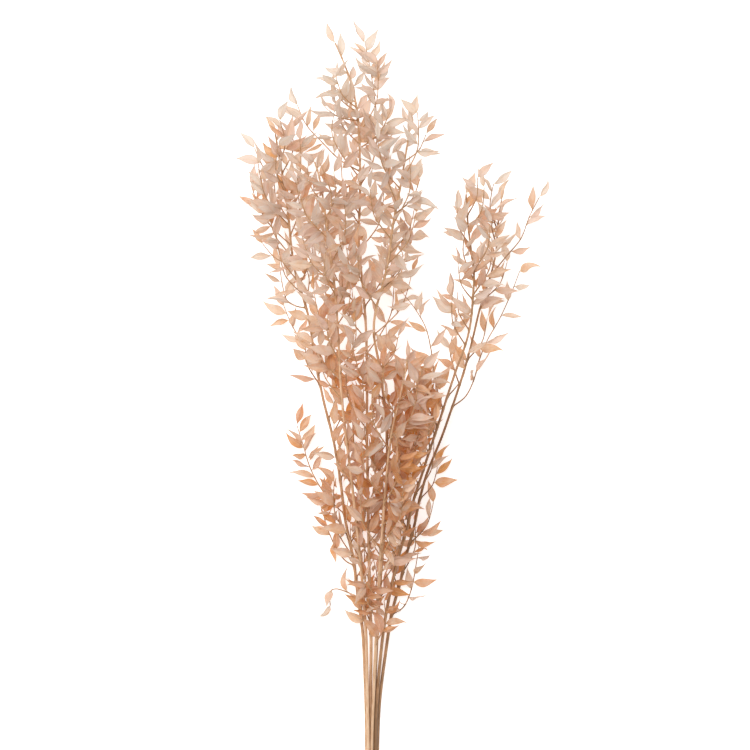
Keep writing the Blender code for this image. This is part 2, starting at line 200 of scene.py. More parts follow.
LEAF_ROUGHNESS = (0.2, 0.5)  # how much the crinkles change it, and its least
LIGHT_THROUGH = 0.5
THROUGH_SATURATION = 1.4
STEM_COLOURS = (
    (0.0, (0.90, 0.70, 0.52)),
    (0.3, (0.80, 0.53, 0.33)),
    (0.65, (0.58, 0.32, 0.16)),
    (1.0, (0.25, 0.125, 0.055)),
)
STREAKS = (2.0, 4.0, 0.6)  # scale, detail and roughness
STREAK_STRETCH = (2.2, 2.2, 60.0)  # across, across and along the wood
STREAK_SWING = 1.6  # how far the streaks change the tone
PATCHES = (1.5, 2.0, 0.5)
PATCH_STRETCH = (0.5, 0.5, 40.0)
PATCH_SWING = 0.7
STEM_ROUGHNESS = (0.3, 0.38)
CUT = (0.5, 0.9)  # of the stored end value, where the cut's colour sets in and is full
PITH = (1.3, 1.8)
KNOT_COLOUR = (0.36, 0.20, 0.09)
KNOT_SHARE = 0.5
CUT_COLOUR = (0.74, 0.58, 0.38)
PITH_COLOUR = (0.86, 0.76, 0.60)
FLOOR_COLOURS = ((0.0, (0.93, 0.93, 0.93)), (1.0, (0.96, 0.96, 0.96)))
FLOOR_GRAIN = 40.0
WHITE = (1.0, 1.0, 1.0, 1.0)
FLOOR_GLOW = 0.55

# How old the leaves look, and the shade painted on them
AGE_SPREAD = 0.12  # of the leaves of one place, from 0, palest, to 1, brownest
WOOD_AGE_SPREAD = 0.05  # from one stem or shoot to the next
OLDEST = 0.88  # no leaf looks older or more shaded
# by y: the leaves' own tone, paler towards the tips, and painted shade that darkens the thick middle of
# the bundle
AGES_AND_SHADE = (  # by y
    (150, 0.3), (200, 0.4), (260, 0.4), (330, 0.42), (410, 0.42), (480, 0.25), (540, 0.19),
    (620, 0.11), (690, 0.0), (740, -0.03),
)
PAINTED_COVER_SHADE = 0.3  # painted shade: how much darker and browner a leaf is made where other leaves lie above it
COVER_REACH = 24.0
COVER_STEEPNESS = 0.5  # least rise towards a covering leaf, for each millimetre away
COVERED_BY = 10  # as many leaves, at least, lie within reach above a leaf that is fully covered
TONE_REACH = 150.0  # the y where the wood has its upper tone
SHOOT_TONE = (0.45, 0.45)  # the least, and what share of its stem's upper tone comes on top

# Where the light comes from, and the camera that looks straight down, in metres
CAMERA_AIM = (-0.0165, 0.028, 0.05)
CAMERA_ABOVE = 6.0
VIEW_WIDTH = 0.75
SENSOR_WIDTH = 36.0
FLOOR_SIZE = 60.0
WORLD_STRENGTH = 0.62
KEY_PLACE = (-0.9, 1.0, 3.0)
KEY_SIZE = 1.4
KEY_POWER = 57.0

LOWEST = CAD_BOX[0] / MM + MIDDLE + UP * TABLE_GAP
HIGHEST = CAD_BOX[1] / MM + MIDDLE

# Where the bundle is thin: no more leaves grow within this reach of these places
THIN_PLACES = (
    (14, 448, 26), (28, 478, 14), (62, 450, 22), (-35, 622, 20), (-36, 184, 22), (66, 256, 14),
    (76, 300, 12), (112, 450, 22), (150, 480, 34), (148, 545, 24), (-34, 214, 20), (38, 220, 10),
    (-34, 724, 13), (-62, 698, 16), (36, 622, 12), (90, 586, 16), (54, 578, 16), (-106, 520, 18),
    (90, 498, 8), (116, 424, 12), (90, 398, 12), (-34, 348, 11), (-104, 504, 18), (40, 504, 20),
    (140, 510, 22), (-112, 632, 18), (24, 672, 12), (64, 296, 12), (64, 244, 16), (62, 424, 12),
    (50, 615, 12),
)

# Where it is thick: here leaves grow at the quarters of their spacing too
THICK_PLACES = (
    (3, 648, 18), (16, 622, 14), (-116, 572, 14), (9, 498, 16), (-10, 522, 12), (-14, 405, 26),
    (112, 498, 12), (-60, 272, 12), (-60, 335, 18), (-28, 716, 12), (-4, 716, 16), (14, 390, 30),
    (46, 400, 26), (64, 352, 18), (22, 340, 30), (12, 280, 26), (34, 256, 18), (-34, 298, 16),
    (0, 182, 22), (-90, 575, 20), (-60, 560, 18),
)

# For each stem: how brown its wood is, from 0 to 1, at the cut end and above it; the y from where
# it has leaves; its route; its side shoots, and those that only the fine pieces have. At the tall
# and right middle stems, which lie below the gaps between the upper stems, the dark cut-end tone is
# painted shade. A shoot's row holds the stem's y where it starts, then x and y of each place that
# it passes, the last its tip, and then the tip's z.
STEMS = {
    "left_leafy_stem": dict(tones=(0.4, 0.66), leafy_from=540, route=[
        (-5.6, 3, 0), (-5.6, 40, 0), (-6.3, 85, 2), (-9, 145, 3.5), (-14, 185, 5), (-19, 225, 7),
        (-27, 265, 9), (-32, 305, 12), (-39, 345, 15), (-49, 385, 18), (-57, 425, 22), (-63, 465, 26),
        (-70, 490, 29), (-77, 513, 31), (-81, 540, 34), (-84, 570, 36), (-88, 600, 38), (-93, 630, 40),
        (-97, 652, 41),
    ], shoots=[
        (186, -30, 193, -42, 193, -42, 177, 0), (218, -31, 227, -43, 250, -52, 280, 0),
        (240, -12, 285, 6), (270, -42, 284, -59, 308, -68, 335, -76, 360, 0), (305, -20, 365, 26),
        (350, -30, 395, 32), (410, -40, 460, 32), (438, -73, 448, -82, 463, -89, 480, 3),
        (455, -48, 520, 48), (476, -86, 486, -93, 520, 12), (500, -62, 560, 58), (520, -110, 542, 16),
        (540, -102, 560, -113, 578, -122, 602, 22), (560, -114, 622, 50), (585, -72, 645, 60),
        (602, -118, 638, 34),
    ], later_shoots=[
        (205, -8, 237, 12), (228, -38, 285, 12), (245, -38, 303, 18), (330, -28, 372, 36),
        (365, -40, 420, 28), (400, -67, 443, 29), (480, -71, 531, 49), (492, -93, 531, 19),
        (505, -96, 552, 34), (528, -104, 580, 40), (550, -76, 602, 52), (566, -98, 612, 30),
        (592, -95, 640, 64), (612, -80, 658, 50), (622, -92, 664, 64),
    ]),
    "left_middle_leafy_stem": dict(tones=(0.26, 0.46), leafy_from=470, route=[
        (-3.8, 9, 4.9), (-3.8, 40, 4.9), (-4.5, 85, 6.5), (-6, 145, 11), (-10, 205, 22), (-16, 265, 36),
        (-23, 325, 50), (-29, 375, 60), (-32, 415, 67), (-34, 455, 73), (-37, 495, 79), (-42, 535, 84),
        (-47, 575, 87), (-52, 605, 88), (-57, 622, 88),
    ], shoots=[
        (225, -24, 285, 30), (262, 2, 330, 62), (300, -38, 360, 52), (340, -10, 410, 82),
        (385, -52, 438, 62), (412, -18, 482, 94), (445, -58, 495, 74), (475, -26, 540, 102),
        (500, -70, 550, 86), (522, -28, 585, 100), (545, -74, 600, 92), (565, -38, 612, 94),
    ], later_shoots=[
        (240, -16, 308, 42), (405, -64, 466, 62), (425, -44, 470, 84), (460, -22, 505, 90),
        (490, -46, 532, 106), (555, -52, 621, 102), (580, -64, 617, 88),
    ]),
    # painted shade: the dark tone at its cut end stands for the shade in the gap between the stems
    # above it
    "tall_leafy_stem": dict(tones=(0.9, 0.46), leafy_from=560, route=[
        (-1.9, 0, 0), (-1.9, 40, 0), (-1.7, 85, 3), (-1, 145, 7), (-3, 225, 18), (-4, 285, 28),
        (-5, 345, 38), (-5, 405, 46), (-6, 455, 51), (-9, 495, 55), (-13, 545, 58), (-12, 585, 60),
        (-12, 625, 61), (-14, 665, 62), (-19, 695, 62), (-27, 719, 61), (-37, 742, 60),
    ], shoots=[
        (205, -22, 262, 10), (240, 18, 305, 46), (280, -24, 340, 40), (315, 20, 385, 58),
        (355, -26, 420, 50), (395, 14, 462, 58), (430, 22, 520, 0), (445, -30, 508, 58),
        (468, -48, 578, 0), (478, 12, 538, 66), (505, -34, 562, 66), (535, 12, 592, 74),
        (570, -30, 632, 74), (599, 0, 620, 5, 645, 5, 665, 2, 690, -2, 717, -7, 741, 74),
        (606, -24, 622, -39, 645, -38, 671, 72), (613, -32, 625, -50, 643, -66, 661, -75, 681, 34),
        (636, 18, 672, 78),
    ], later_shoots=[
        (150, -9, 190, 11), (225, -9, 284, 35), (260, 10, 320, 40), (560, -26, 606, 71),
        (640, -37, 687, 62), (648, -5, 657, 31), (650, 6, 717, 85), (664, -47, 676, 92),
        (672, -40, 706, 50), (676, -36, 708, 74), (160, 8, 212, 12), (178, -9, 226, 12),
    ]),
    "front_leafy_stem": dict(tones=(0.38, 0.44), leafy_from=365, route=[
        (0, 12, 4.9), (0, 40, 4.9), (1.5, 85, 8), (4, 145, 17), (7, 205, 34), (11, 265, 55),
        (15, 315, 73), (20, 355, 87), (27, 385, 98), (32, 408, 105), (35, 425, 109),
    ], shoots=[
        (185, -12, 238, 44), (210, 30, 265, 50), (235, -12, 295, 72), (260, 40, 305, 70),
        (285, -10, 345, 92), (310, 48, 355, 88), (335, 0, 395, 106), (350, 57, 394, 102),
        (370, 12, 418, 112), (385, 51, 417, 108),
    ], later_shoots=[
        (140, 12, 184, 28), (165, -6, 208, 34), (225, 18, 281, 65), (240, 31, 301, 89),
        (280, 24, 348, 102), (322, 63, 364, 94), (330, 42, 389, 92), (346, 46, 399, 115),
        (355, 8, 407, 93),
    ]),
    # painted shade: the dark tone at its cut end stands for the shade in the gap between the stems
    # above it
    "right_middle_leafy_stem": dict(tones=(1.3, 0.56), leafy_from=500, route=[
        (1.9, 6, 0), (1.9, 40, 0), (2.6, 85, 3), (5, 145, 7), (8.5, 205, 16), (13, 265, 28),
        (15, 315, 40), (14, 365, 53), (8, 415, 67), (2, 450, 77), (4, 475, 83), (11, 500, 88),
        (17, 530, 91), (21, 560, 92), (27, 590, 91), (32, 620, 89), (36, 645, 86), (39, 667, 83),
    ], shoots=[
        (185, 28, 240, 12), (225, -4, 285, 50), (265, 40, 325, 44), (305, -8, 365, 74),
        (345, 44, 400, 66), (385, -18, 440, 90), (415, 26, 448, 82), (450, 40, 512, 24),
        (478, -14, 535, 106), (495, 36, 540, 78), (520, 44, 572, 82), (545, -2, 595, 108),
        (570, 48, 606, 82), (595, 6, 642, 104), (622, 54, 650, 80),
    ], later_shoots=[
        (200, 29, 253, 31), (500, 39, 545, 63), (530, 43, 581, 73), (560, 37, 628, 96),
        (575, -15, 603, 77), (580, 19, 629, 102), (602, 45, 670, 117),
    ]),
    "right_inner_leafy_stem": dict(tones=(1.3, 0.74), leafy_from=470, route=[
        (3.8, 4, 4.9), (3.8, 40, 4.9), (5.2, 85, 6.2), (10.5, 145, 9), (17, 185, 13), (26, 225, 18),
        (35, 255, 22), (42, 285, 26), (50, 310, 30), (58, 335, 33), (68, 365, 37), (76, 390, 40),
        (85, 417, 43), (94, 442, 46), (99, 465, 48), (101, 490, 50), (102, 510, 51), (99, 535, 52),
        (96, 560, 53), (94, 592, 52),
    ], shoots=[
        (225, 12, 285, 38), (262, 30, 330, 50), (300, 34, 362, 48), (332, 48, 392, 60),
        (358, 56, 412, 40), (375, 66, 392, 63, 408, 60, 427, 57, 447, 51, 463, 41, 479, 29, 494, 58),
        (440, 80, 488, 52), (485, 86, 520, 58), (515, 118, 562, 60), (540, 85, 575, 60),
        (555, 112, 598, 58),
    ], later_shoots=[
        (245, 42, 300, 32), (290, 62, 345, 42), (315, 44, 369, 49), (335, 70, 388, 58),
        (350, 58, 406, 55), (388, 96, 432, 34), (455, 86, 494, 40), (490, 120, 547, 49),
        (505, 84, 552, 62), (570, 105, 607, 72),
    ]),
    "right_outer_leafy_stem": dict(tones=(1.0, 0.82), leafy_from=470, route=[
        (5.6, 8, 0), (5.6, 40, 0), (8, 85, 1.5), (14.5, 135, 3), (20, 170, 4), (28, 200, 5),
        (35, 230, 7), (43, 260, 9), (48, 285, 11), (55, 310, 13), (63, 330, 15), (71, 350, 17),
        (79, 373, 19), (87, 397, 20), (95, 423, 22), (102, 450, 24), (108, 475, 25), (115, 497, 26),
        (121, 517, 27), (125, 537, 27), (126, 557, 27), (130, 586, 26),
    ], shoots=[
        (168, 30, 174, 37, 187, 42, 203, 45, 223, 48, 242, 0), (195, 24, 240, 10), (240, 62, 282, 2),
        (248, 28, 295, 16), (285, 66, 318, 8),
        (378, 93, 387, 101, 402, 107, 418, 110, 435, 121, 452, 132, 474, 141, 494, 149, 515, 0),
        (400, 86, 468, 0), (425, 116, 468, 14), (485, 136, 524, 18),
        (510, 128, 523, 137, 531, 146, 541, 153, 554, 157, 566, 163, 579, 169, 590, 6),
    ], later_shoots=[
        (210, 43, 263, 2), (540, 124, 578, 40), (556, 122, 602, 34),
    ]),
}


def flat_under(radius, sides):
    """How far a tube with a flat side down reaches below its centre line."""
    return radius * cos(pi / sides)


def stretch_at(points, distance):
    """Which straight stretch of a line lies at this distance, and the share of it before that."""
    for i, (start, end) in enumerate(zip(points, points[1:])):
        length = (end - start).length
        if distance <= length or end is points[-1]:
            return i, min(distance / length, 1.0)
        distance -= length


def at_distance(points, distance):
    """The point at this distance along a line of straight stretches, and the way it runs there."""
    i, share = stretch_at(points, distance)
    stretch = points[i + 1] - points[i]
    return points[i] + stretch * share, stretch.normalized()


def length_of(points):
    return sum((b - a).length for a, b in zip(points, points[1:]))


def distance_at_y(points, y):
    """How far along the stem its line reaches y."""
    distance = 0.0
    for start, end in zip(points, points[1:]):
        if end.y >= y:
            return distance + (end - start).length * (y - start.y) / (end.y - start.y)
        distance += (end - start).length
    return distance


def smooth_curve(points, t):
    """The point at share t of a Catmull-Rom curve through the points."""
    place = t * (len(points) - 1)
    i = min(int(place), len(points) - 2)
    f = place - i
    p1, p2 = points[i], points[i + 1]
    p0 = points[i - 1] if i > 0 else p1 * 2 - p2
    p3 = points[i + 2] if i + 2 < len(points) else p2 * 2 - p1
    a = 2 * p1
    b = (p2 - p0) * f
    c = (2 * p0 - 5 * p1 + 4 * p2 - p3) * f * f
    d = (3 * p1 - p0 - 3 * p2 + p3) * f * f * f
    return (a + b + c + d) / 2


def shoot_line(start, start_way, places, tip_height):
    """A shoot's line from the stem through its places, at heights that pass smoothly to the tip's."""
    flat = [Vector((start.x, start.y, 0))] + [Vector((x, y, 0)) for x, y in places]
    if len(flat) == 2:
        chord = flat[1] - flat[0]
        outward = Vector((chord.y, -chord.x, 0)).normalized()
        if outward.dot(flat[1] - flat[0] - start_way * chord.length) < 0:
            outward.negate()
        flat.insert(1, (flat[0] + flat[1]) / 2 + outward * chord.length * SHOOT_BOW)
    count = max(SHOOT_STRETCHES, round(length_of(flat) / SHOOT_POINT_SPACING))
    line = []
    for i in range(count + 1):
        t = i / count
        point = smooth_curve(flat, t)
        height = start.z + (tip_height - start.z) * (1 - (1 - t) ** SHOOT_RISE)
        lowest = flat_under(radius_at(SOLID_SHOOT_RADII, t), SHOOT_SIDES) if i else start.z
        line.append(Vector((point.x, point.y, max(height, lowest))))
    return line


def radius_at(radii, t):
    """The radius at share t of the length, from those at the start and at the end."""
    return radii[0] + (radii[1] - radii[0]) * t


def stem_line(route):
    """The stem's points, none so low that the stem would sink into the table."""
    line = [Vector(place) for place in route]
    for point, radius in zip(line, stem_radii(line)):
        point.z = max(point.z, flat_under(radius, STEM_SIDES))
    return line


def stem_radii(line):
    """The stem's radius at each of its points: thickest at the cut end."""
    shares = [(p.y - line[0].y) / (line[-1].y - line[0].y) for p in line]
    return [radius_at(SOLID_STEM_RADII, share ** STEM_TAPER) for share in shares]


def ring_faces(rings, sides):
    """The faces between neighbouring rings of points."""
    faces = []
    for i in range(rings - 1):
        for k in range(sides):
            a, b = i * sides + k, i * sides + (k + 1) % sides
            faces.append((a, b, b + sides, a + sides))
    return faces


def sheet_faces(rows, width):
    """The faces between neighbouring rows of points, each row this wide."""
    corners = [i * width + k for i in range(rows - 1) for k in range(width - 1)]
    return [(a, a + 1, a + width + 1, a + width) for a in corners]


def tube(line, radii, sides):
    """A closed tube round the line, a flat side down, as (points, faces)."""
    points = []
    for i, centre in enumerate(line):
        _, side, up = frame_of(line, i)
        for k in range(sides):
            angle = pi * ((2 * k + 1) / sides - 0.5)
            points.append(centre + (side * cos(angle) + up * sin(angle)) * radii[i])
    faces = ring_faces(len(line), sides)
    faces.append(tuple(reversed(range(sides))))
    faces.append(tuple(range((len(line) - 1) * sides, len(line) * sides)))
    return points, faces


def leaf_half_width(u):
    """The blade's half width at share u of its length, as a share of the widest."""
    return (u / WIDEST) ** BASE_POWER * (max(1 - u, 0) / (1 - WIDEST)) ** TIP_POWER


def turned(leaf, turn):
    """The leaf's side and face directions, turned about the way that it grows."""
    side = leaf["side"] * cos(turn) + leaf["face"] * sin(turn)
    return side, leaf["face"] * cos(turn) - leaf["side"] * sin(turn)


def leaf_point(leaf, u, v, lift=0.0, grow=0.0):
    """A point of the blade: u along it, v across it from -1 to 1, lift off its middle surface."""
    side, face = turned(leaf, leaf["twist"] * u)
    middle = leaf["root"] + leaf["way"] * (leaf["length"] * u)
    middle = middle - face * (leaf["length"] * leaf["droop"] * u * u)
    half = leaf["width"] / 2 * leaf_half_width(u) + grow
    return middle + side * (half * v) + face * lift


def blade(leaf, thickness, grow=0.0):
    """The leaf as a thin arched solid that ends in a point at its root and at its tip."""
    points = [leaf_point(leaf, 0, 0), leaf_point(leaf, 1 + grow / leaf["length"], 0)]
    for lift in (thickness / 2, -thickness / 2):
        for u in LEAF_STATIONS:
            points += [leaf_point(leaf, u, v, lift, grow) for v in (-1, 1)]
    root, tip = 0, 1
    top = (2, 3, 4, 5)
    low = (6, 7, 8, 9)
    faces = []
    for left, right, far_left, far_right in (top, low):
        faces += [
            (root, right, left),
            (left, right, far_left),
            (right, far_right, far_left),
            (far_left, far_right, tip),
        ]
    for near, far in ((0, 2), (1, 3)):
        faces += [
            (root, top[near], low[near]),
            (top[near], top[far], low[far]),
            (top[near], low[far], low[near]),
            (top[far], tip, low[far]),
        ]
    return points, faces


class Space:
    """What already stands in the bundle, so that nothing new grows through it."""

    def __init__(self, low=(-inf, -inf, 0.0), high=(inf,) * 3):
        self.things = []
        self.low, self.high = low, high
        self.stem_trees = []

    def add(self, shape, owner):
        points, faces = shape
        low, high = box_of(points)
        self.things.append((low, high, BVHTree.FromPolygons(points, faces), owner))

    def is_clear(self, shape, joined):
        """True if the shape meets nothing, apart from the owners that it is joined to."""
        points, faces = shape
        low, high = box_of(points)
        if any(low[i] < self.low[i] or high[i] > self.high[i] for i in range(3)):
            return False
        tree = None
        for other_low, other_high, other, owner in self.things:
            if owner in joined:
                continue
            if any(low[i] > other_high[i] or high[i] < other_low[i] for i in range(3)):
                continue
            tree = tree or BVHTree.FromPolygons(points, faces)
            if tree.overlap(other):
                return False
        return True


def box_of(points):
    return (
        Vector([min(p[i] for p in points) for i in range(3)]),
        Vector([max(p[i] for p in points) for i in range(3)]),
    )


def grow_shoot(space, stem, number, entry, draw):
    """A side shoot in the first place near its own that is clear of everything else."""
    start_y, *places, tip_height = entry
    places = list(zip(places[::2], places[1::2]))
    start, start_way = at_distance(stem["line"], distance_at_y(stem["line"], start_y))
    name = f"{stem['name']}_shoot_{number}"
    for attempt in range(SHOOT_TRIES):
        reach = SHOOT_SHIFT * attempt
        shift = Vector([draw.uniform(-reach, reach) for _ in range(3)])
        moved = [
            (x + shift.x * (i + 1) / len(places), y + shift.y * (i + 1) / len(places))
            for i, (x, y) in enumerate(places)
        ]
        height = tip_height if tip_height < LYING_TIP else max(RAISED_TIP, tip_height + shift.z)
        line = shoot_line(start, start_way, moved, height)
        radii = [radius_at(SOLID_SHOOT_RADII, i / (len(line) - 1)) for i in range(len(line))]
        points, faces = tube(line, [r + 2 * CLEARANCE for r in radii], SHOOT_SIDES)
        lifted = [p + UP * CLEARANCE for p in points]
        if space.is_clear((lifted, faces), {stem["name"]}):
            shape = tube(line, radii, SHOOT_SIDES)
            space.add(shape, name)
            return {"name": name, "line": line, "shape": shape}
    return None


def leaf_places(shoot, leafy_from):
    """The distances along a shoot or stem where a leaf grows, the last at its very tip."""
    tip = length_of(shoot["line"]) - SOLID_SHOOT_RADII[1]
    count = int((tip - leafy_from) / LEAF_SPACING)
    return [tip - LEAF_SPACING * k for k in reversed(range(count + 1))]


def draw_leaf(root, along, sign, tipness, attempt, draw):
    """A leaf drawn at random: it leans out to its side of the shoot, more so the more tries failed."""
    looseness = 1 + LOOSER * attempt
    right = along.cross(UP).normalized()
    over = right.cross(along)
    roll = draw.gauss(*ROLL) * looseness
    outward = right * (sign * cos(roll)) + over * sin(roll)
    lean = draw.gauss(*(LEAN if tipness < 1 else LEAN_AT_TIP)) * looseness
    way = (along * cos(lean) + outward * sin(lean)).normalized()
    level_face = (outward.cross(along) * sign).normalized()
    level_side = level_face.cross(way)
    turn = draw.gauss(*TURN) * looseness
    length = draw.uniform(*LEAF_LENGTH) * (1 - TIP_SHRINK * tipness)
    return {
        "root": root,
        "way": way,
        "face": level_face * cos(turn) + level_side * sin(turn),
        "side": level_side * cos(turn) - level_face * sin(turn),
        "length": length,
        "width": length * draw.uniform(*LEAF_WIDTH),
        "droop": draw.gauss(*DROOP),
        "twist": draw.gauss(*TWIST),
    }


def grow_leaf(space, shoot, distance, sign, draw):
    """A leaf at this distance along its shoot, in the first drawn attitude that is clear."""
    root, along = at_distance(shoot["line"], distance)
    whole = length_of(shoot["line"])
    tipness = 1.0 if whole - distance < LEAF_SPACING / 2 else distance / whole
    for attempt in range(LEAF_TRIES):
        leaf = draw_leaf(root, along, sign, tipness, attempt, draw)
        if space.is_clear(blade(leaf, LEAF_THICKNESS + 2 * CLEARANCE, CLEARANCE), {shoot["name"]}):
            space.add(blade(leaf, LEAF_THICKNESS), f"{shoot['name']}_leaf")
            return leaf
    return None


def grow_shoots(space, stem, kind, prefix, draw):
    """The side shoots of one kind that find room on this stem."""
    grown = [
        grow_shoot(space, stem, f"{prefix}{number}", entry, draw)
        for number, entry in enumerate(STEMS[stem["name"]][kind])
    ]
    return [shoot for shoot in grown if shoot]


def seeded(stems, seed):
    """Each stem with random draws of its own."""
    return [(stem, random.Random(seed + index)) for index, stem in enumerate(stems)]


def grow_solids(space):
    """The stems with the shoots and leaves that the solids have."""
    stems = []
    for name, entry in STEMS.items():
        line = stem_line(entry["route"])
        shape = tube(line, stem_radii(line), STEM_SIDES)
        space.add(shape, name)
        stems.append({"name": name, "line": line, "shape": shape, "leaves": []})
    for stem, draw in seeded(stems, SHOOT_SEED):
        stem["shoots"] = grow_shoots(space, stem, "shoots", "", draw)
    for stem, draw in seeded(stems, LEAF_SEED):
        for wood in [stem] + stem["shoots"]:
            for k, distance in enumerate(leaf_places(wood, first_leaf(stem, wood))):
                leaf = grow_leaf(space, wood, distance, (-1) ** k, draw)
                if leaf:
                    stem["leaves"].append(dict(leaf, wood=wood, distance=distance))
    return stems


def first_leaf(stem, wood):
    """How far along its wood the first leaf may grow."""
    if wood is stem:
        return distance_at_y(stem["line"], STEMS[stem["name"]]["leafy_from"])
    return BARE_SHARE * length_of(wood["line"])


def raised(line, radii):
    """The line's points, none so low that round wood would sink into the table."""
    points = []
    for i, point in enumerate(line):
        lowest = radius_at(radii, i / (len(line) - 1)) + TABLE_GAP
        points.append(Vector((point.x, point.y, max(point.z, lowest))))
    return points


def share_at(points, distance):
    """The share of a smooth curve through the points that lies before this distance along them."""
    i, share = stretch_at(points, distance)
    return (i + share) / (len(points) - 1)


def on_curve(wood, distance):
    """The point of the wood's smooth curve at this distance along its line."""
    return smooth_curve(wood["curve"], share_at(wood["line"], distance))


def lay_shoot_curve(stem, shoot):
    """Gives a shoot the smooth curve that its fine wood follows from the stem's own curve."""
    joint = distance_at_y(stem["line"], shoot["line"][0].y)
    curve = [on_curve(stem, joint)] + raised(shoot["line"], SHOOT_RADII)[1:]
    tone = SHOOT_TONE[0] + SHOOT_TONE[1] * stem["tones"][1]
    shoot.update(radii=SHOOT_RADII, curve=curve, is_shoot=True, joint=joint, tones=(tone, tone))


def within(point):
    """The point, moved to the nearest place inside the solids' box and just above the table."""
    return Vector([min(max(point[i], LOWEST[i]), HIGHEST[i]) for i in range(3)])


def fine_half_width(leaf, u):
    """The fine blade's half width at share u of its length, with its short stalk."""
    if u <= STALK:
        return STALK_HALF_WIDTH
    t = (u - STALK) / (1 - STALK)
    grown = (t / FINE_WIDEST) ** FINE_BASE_POWER
    left = max(1 - t, 0) / (1 - FINE_WIDEST)
    return max(leaf["width"] / 2 * grown * left ** FINE_TIP_POWER, STALK_HALF_WIDTH * (1 - t))


def leaf_form(leaf, strength, draw):
    """How a leaf dried: its fold, bow, waves, curl and twist, all scaled by the strength."""
    fold = max(draw.gauss(*FOLD), 0.0)
    if draw.random() < FOLD_BACK:
        fold = -fold
    return {
        "shift": on_curve(leaf["wood"], leaf["distance"]) - leaf["root"],
        "fold": fold * strength,
        "cup": draw.gauss(*CUP) * strength,
        "wave": [draw.uniform(*WAVE) * strength for _ in range(2)],
        "waves": [draw.uniform(*WAVES) for _ in range(2)],
        "phase": [draw.uniform(0, tau) for _ in range(2)],
        "sickle": draw.gauss(0, SICKLE) * strength,
        "curl": draw.gauss(*CURL) * strength,
        "end_twist": draw.gauss(0, END_TWIST) * strength,
    }


def blade_row(leaf, form, u, columns):
    """The fine blade's points at share u of its length."""
    turn = leaf["twist"] * u + form["end_twist"] * u ** 3
    side, face = turned(leaf, turn)
    under = leaf["droop"] * u * u + form["curl"] * max(u - CURL_FROM, 0) / (1 - CURL_FROM) * u
    sideways = form["sickle"] * 4 * u * (1 - u)
    middle = leaf["root"] + form["shift"] * (1 - u) + leaf["way"] * (leaf["length"] * u)
    middle = middle + (side * sideways - face * under) * leaf["length"]
    half = fine_half_width(leaf, u)
    fold = form["fold"] * (FOLD_ALONG[0] + FOLD_ALONG[1] * (2 * u - 1) ** 2)
    waves = [
        height * sin(tau * number * u + phase)
        for height, number, phase in zip(form["wave"], form["waves"], form["phase"])
    ]
    row = []
    for v in columns:
        wave = waves[0 if v < 0 else 1] * abs(v) ** WAVE_POWER
        lift = (abs(v) - FOLD_LEVEL) * sin(fold) + form["cup"] * (v * v - CUP_LEVEL) + wave
        rib = RIB_DEPTH * (1 - u) if v == 0 else 0.0
        row.append(middle + side * (half * v * cos(fold)) + face * (half * lift - rib))
    return row


def fine_blade(leaf, form):
    """A blade of two folded halves on a short stalk, with waved edges and a drawn-out tip."""
    rows = [(u, blade_row(leaf, form, u, LEAF_COLUMNS)) for u in LEAF_ROWS]
    rows.append((1.0, blade_row(leaf, form, 1.0, (0.0,))))
    sunk = max(LOWEST.z - min(point.z for _, row in rows for point in row), 0.0)
    points = [point + UP * sunk * min(u / LIFT_BY, 1.0) for u, row in rows for point in row]
    width = len(LEAF_COLUMNS)
    tip = len(points) - 1
    faces = sheet_faces(len(LEAF_ROWS), width)
    faces += [(tip - width + k, tip - width + k + 1, tip) for k in range(width - 1)]
    return points, faces


def settle_leaf(space, leaf, draw):
    """Lets a leaf of the solids dry into the most curled form that is clear of its neighbours."""
    name = leaf["wood"]["name"]
    for attempt in range(FORM_TRIES):
        leaf["blade"] = fine_blade(leaf, leaf_form(leaf, 1 - attempt / FORM_TRIES, draw))
        if space.is_clear(leaf["blade"], {name}):
            break
    points, faces = leaf["blade"]
    leaf["blade"] = [within(point) for point in points], faces
    space.add(leaf["blade"], name + "_leaf")


def is_at(places, point):
    """True if the point is within reach of one of the places, seen from above."""
    return any(hypot(point.x - x, point.y - y) < reach for x, y, reach in places)


def hides_stem(space, blade):
    """True if the blade, low in the bundle, lies over a stem as seen from above."""
    low_points = [point for point in blade[0][::SEEN_STEP] if SEEN[0] < point.y < SEEN[1]]
    return any(
        tree.ray_cast(point, -UP)[0] is not None
        for tree in space.stem_trees
        for point in low_points
    )


def grow_later_leaf(space, wood, distance, sign, draw):
    """One more leaf at this distance along its wood, in the first drawn form that is clear."""
    root, along = at_distance(wood["line"], distance)
    tipness = distance / length_of(wood["line"])
    if is_at(THIN_PLACES, root):
        return None
    for attempt in range(LEAF_TRIES):
        leaf = draw_leaf(root, along, sign, tipness, attempt, draw)
        size = draw.uniform(*LATER_SIZE)
        leaf.update(wood=wood, distance=distance)
        leaf.update(length=leaf["length"] * size, width=leaf["width"] * size)
        leaf["blade"] = fine_blade(leaf, leaf_form(leaf, 1.0, draw))
        if hides_stem(space, leaf["blade"]):
            continue
        if space.is_clear(leaf["blade"], {wood["name"]}):
            space.add(leaf["blade"], wood["name"] + "_leaf")
            return leaf
    return None


def grow_later_leaves(space, stem):
    """Leaves between those of the solids, and on both sides of the later shoots."""
    for wood in [stem] + stem["shoots"] + stem["later_shoots"]:
        draw = random.Random(wood["name"])
        places = leaf_places(wood, first_leaf(stem, wood))
        for back, side in LATER_PLACES:
            if back == 0.0 and wood not in stem["later_shoots"]:
                continue
            for k, place in enumerate(places):
                distance = place - back * LEAF_SPACING
                root = at_distance(wood["line"], distance)[0]
                if back in THICK_ONLY and not is_at(THICK_PLACES, root):
                    continue
                leaf = grow_later_leaf(space, wood, distance, side * (-1) ** k, draw)
                if leaf:
                    stem["leaves"].append(leaf)


